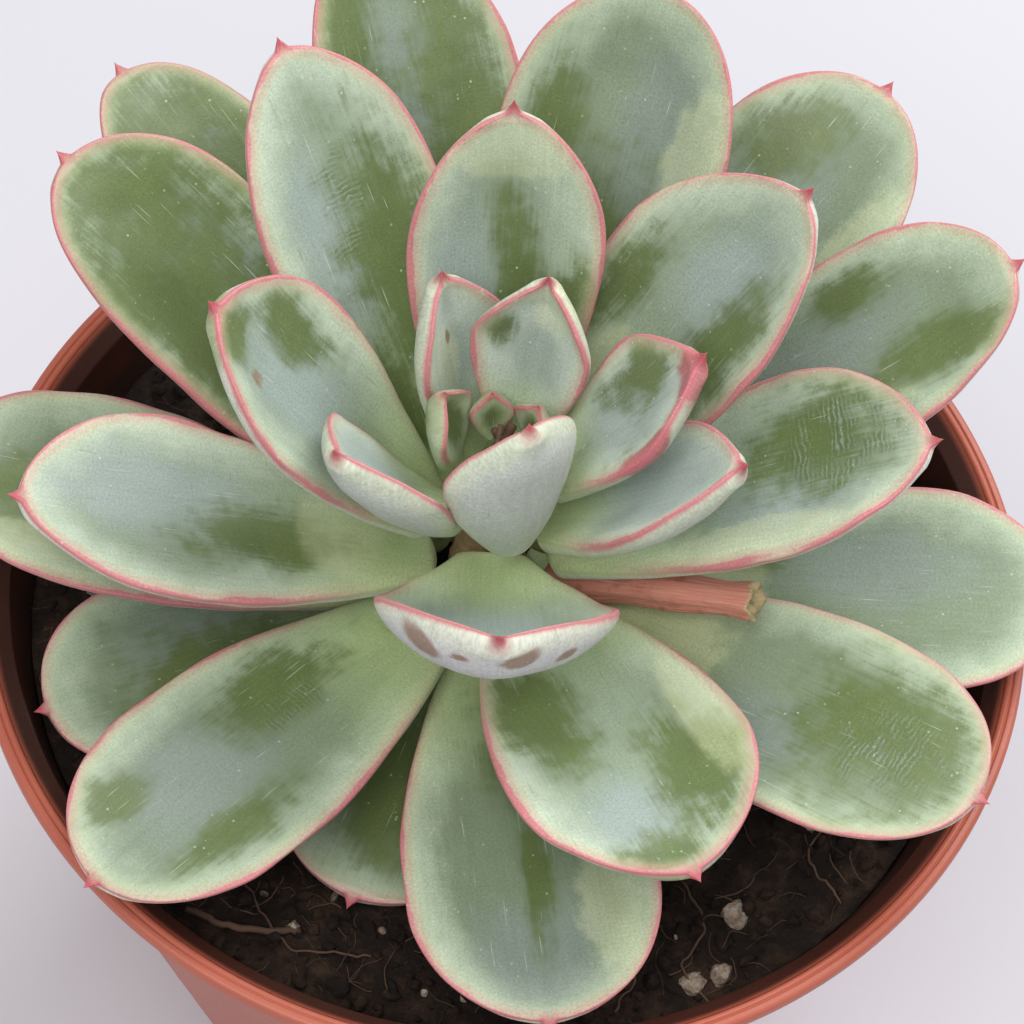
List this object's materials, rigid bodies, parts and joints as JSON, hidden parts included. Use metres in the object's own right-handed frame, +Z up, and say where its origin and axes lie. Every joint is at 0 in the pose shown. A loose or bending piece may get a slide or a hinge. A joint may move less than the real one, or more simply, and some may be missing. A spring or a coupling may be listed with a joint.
{
  "type": "potted succulent",
  "caption": "Leaning rosette of thick, cupped, pink-edged leaves on a short stem, growing in soil in a tapered plastic nursery pot with a flat base and drain holes.",
  "frame": {"origin": "middle of the pot's flat underside, on the surface that the pot stands on", "axes": "+Z up along the pot's axis; the rosette leans towards -Y, its front; +X to the right seen from the front"},
  "size_m": [0.1257, 0.12, 0.1409],
  "materials": {
    "terracotta_plastic": "moulded terracotta-coloured polypropylene, satin, with a paler rounded lip",
    "potting_mix": "dark damp peat with fibres and white perlite grains",
    "stem_skin": "dry tan-brown skin with old leaf scars",
    "flower_stalk_skin": "reddish skin with a dry fibrous cut end",
    "outer_leaf_skin": "waxy grey-green bloom, rubbed to olive in places, with a thin pink-red edge",
    "middle_leaf_skin": "waxy grey-green bloom with a pink-red edge and tip",
    "inner_leaf_skin": "thick pale bloom with a pink edge and pointed tip",
    "bud_leaf_skin": "young green leaf skin with red-brown dry tips"
  },
  "bodies": {
    "root": {"pot": "terracotta_plastic", "soil": "potting_mix", "stem": "stem_skin", "flower_stalk": "flower_stalk_skin", "bud_leaf_01": "bud_leaf_skin", "bud_leaf_02": "bud_leaf_skin", "bud_leaf_03": "bud_leaf_skin", "inner_leaf_01": "inner_leaf_skin", "inner_leaf_02": "inner_leaf_skin", "inner_leaf_03": "inner_leaf_skin", "inner_leaf_04": "inner_leaf_skin", "inner_leaf_05": "inner_leaf_skin", "inner_leaf_06": "inner_leaf_skin", "middle_leaf_01": "middle_leaf_skin", "middle_leaf_02": "middle_leaf_skin", "middle_leaf_03": "middle_leaf_skin", "middle_leaf_04": "middle_leaf_skin", "middle_leaf_05": "middle_leaf_skin", "middle_leaf_06": "middle_leaf_skin", "middle_leaf_07": "middle_leaf_skin", "middle_leaf_08": "middle_leaf_skin", "outer_leaf_01": "outer_leaf_skin", "outer_leaf_02": "outer_leaf_skin", "outer_leaf_03": "outer_leaf_skin", "outer_leaf_04": "outer_leaf_skin", "outer_leaf_05": "outer_leaf_skin", "outer_leaf_06": "outer_leaf_skin", "outer_leaf_07": "outer_leaf_skin", "outer_leaf_08": "outer_leaf_skin", "outer_leaf_09": "outer_leaf_skin", "outer_leaf_10": "outer_leaf_skin", "outer_leaf_11": "outer_leaf_skin", "outer_leaf_12": "outer_leaf_skin", "outer_leaf_13": "outer_leaf_skin", "outer_leaf_14": "outer_leaf_skin", "outer_leaf_15": "outer_leaf_skin", "outer_leaf_16": "outer_leaf_skin"}
  },
  "joints": []
}
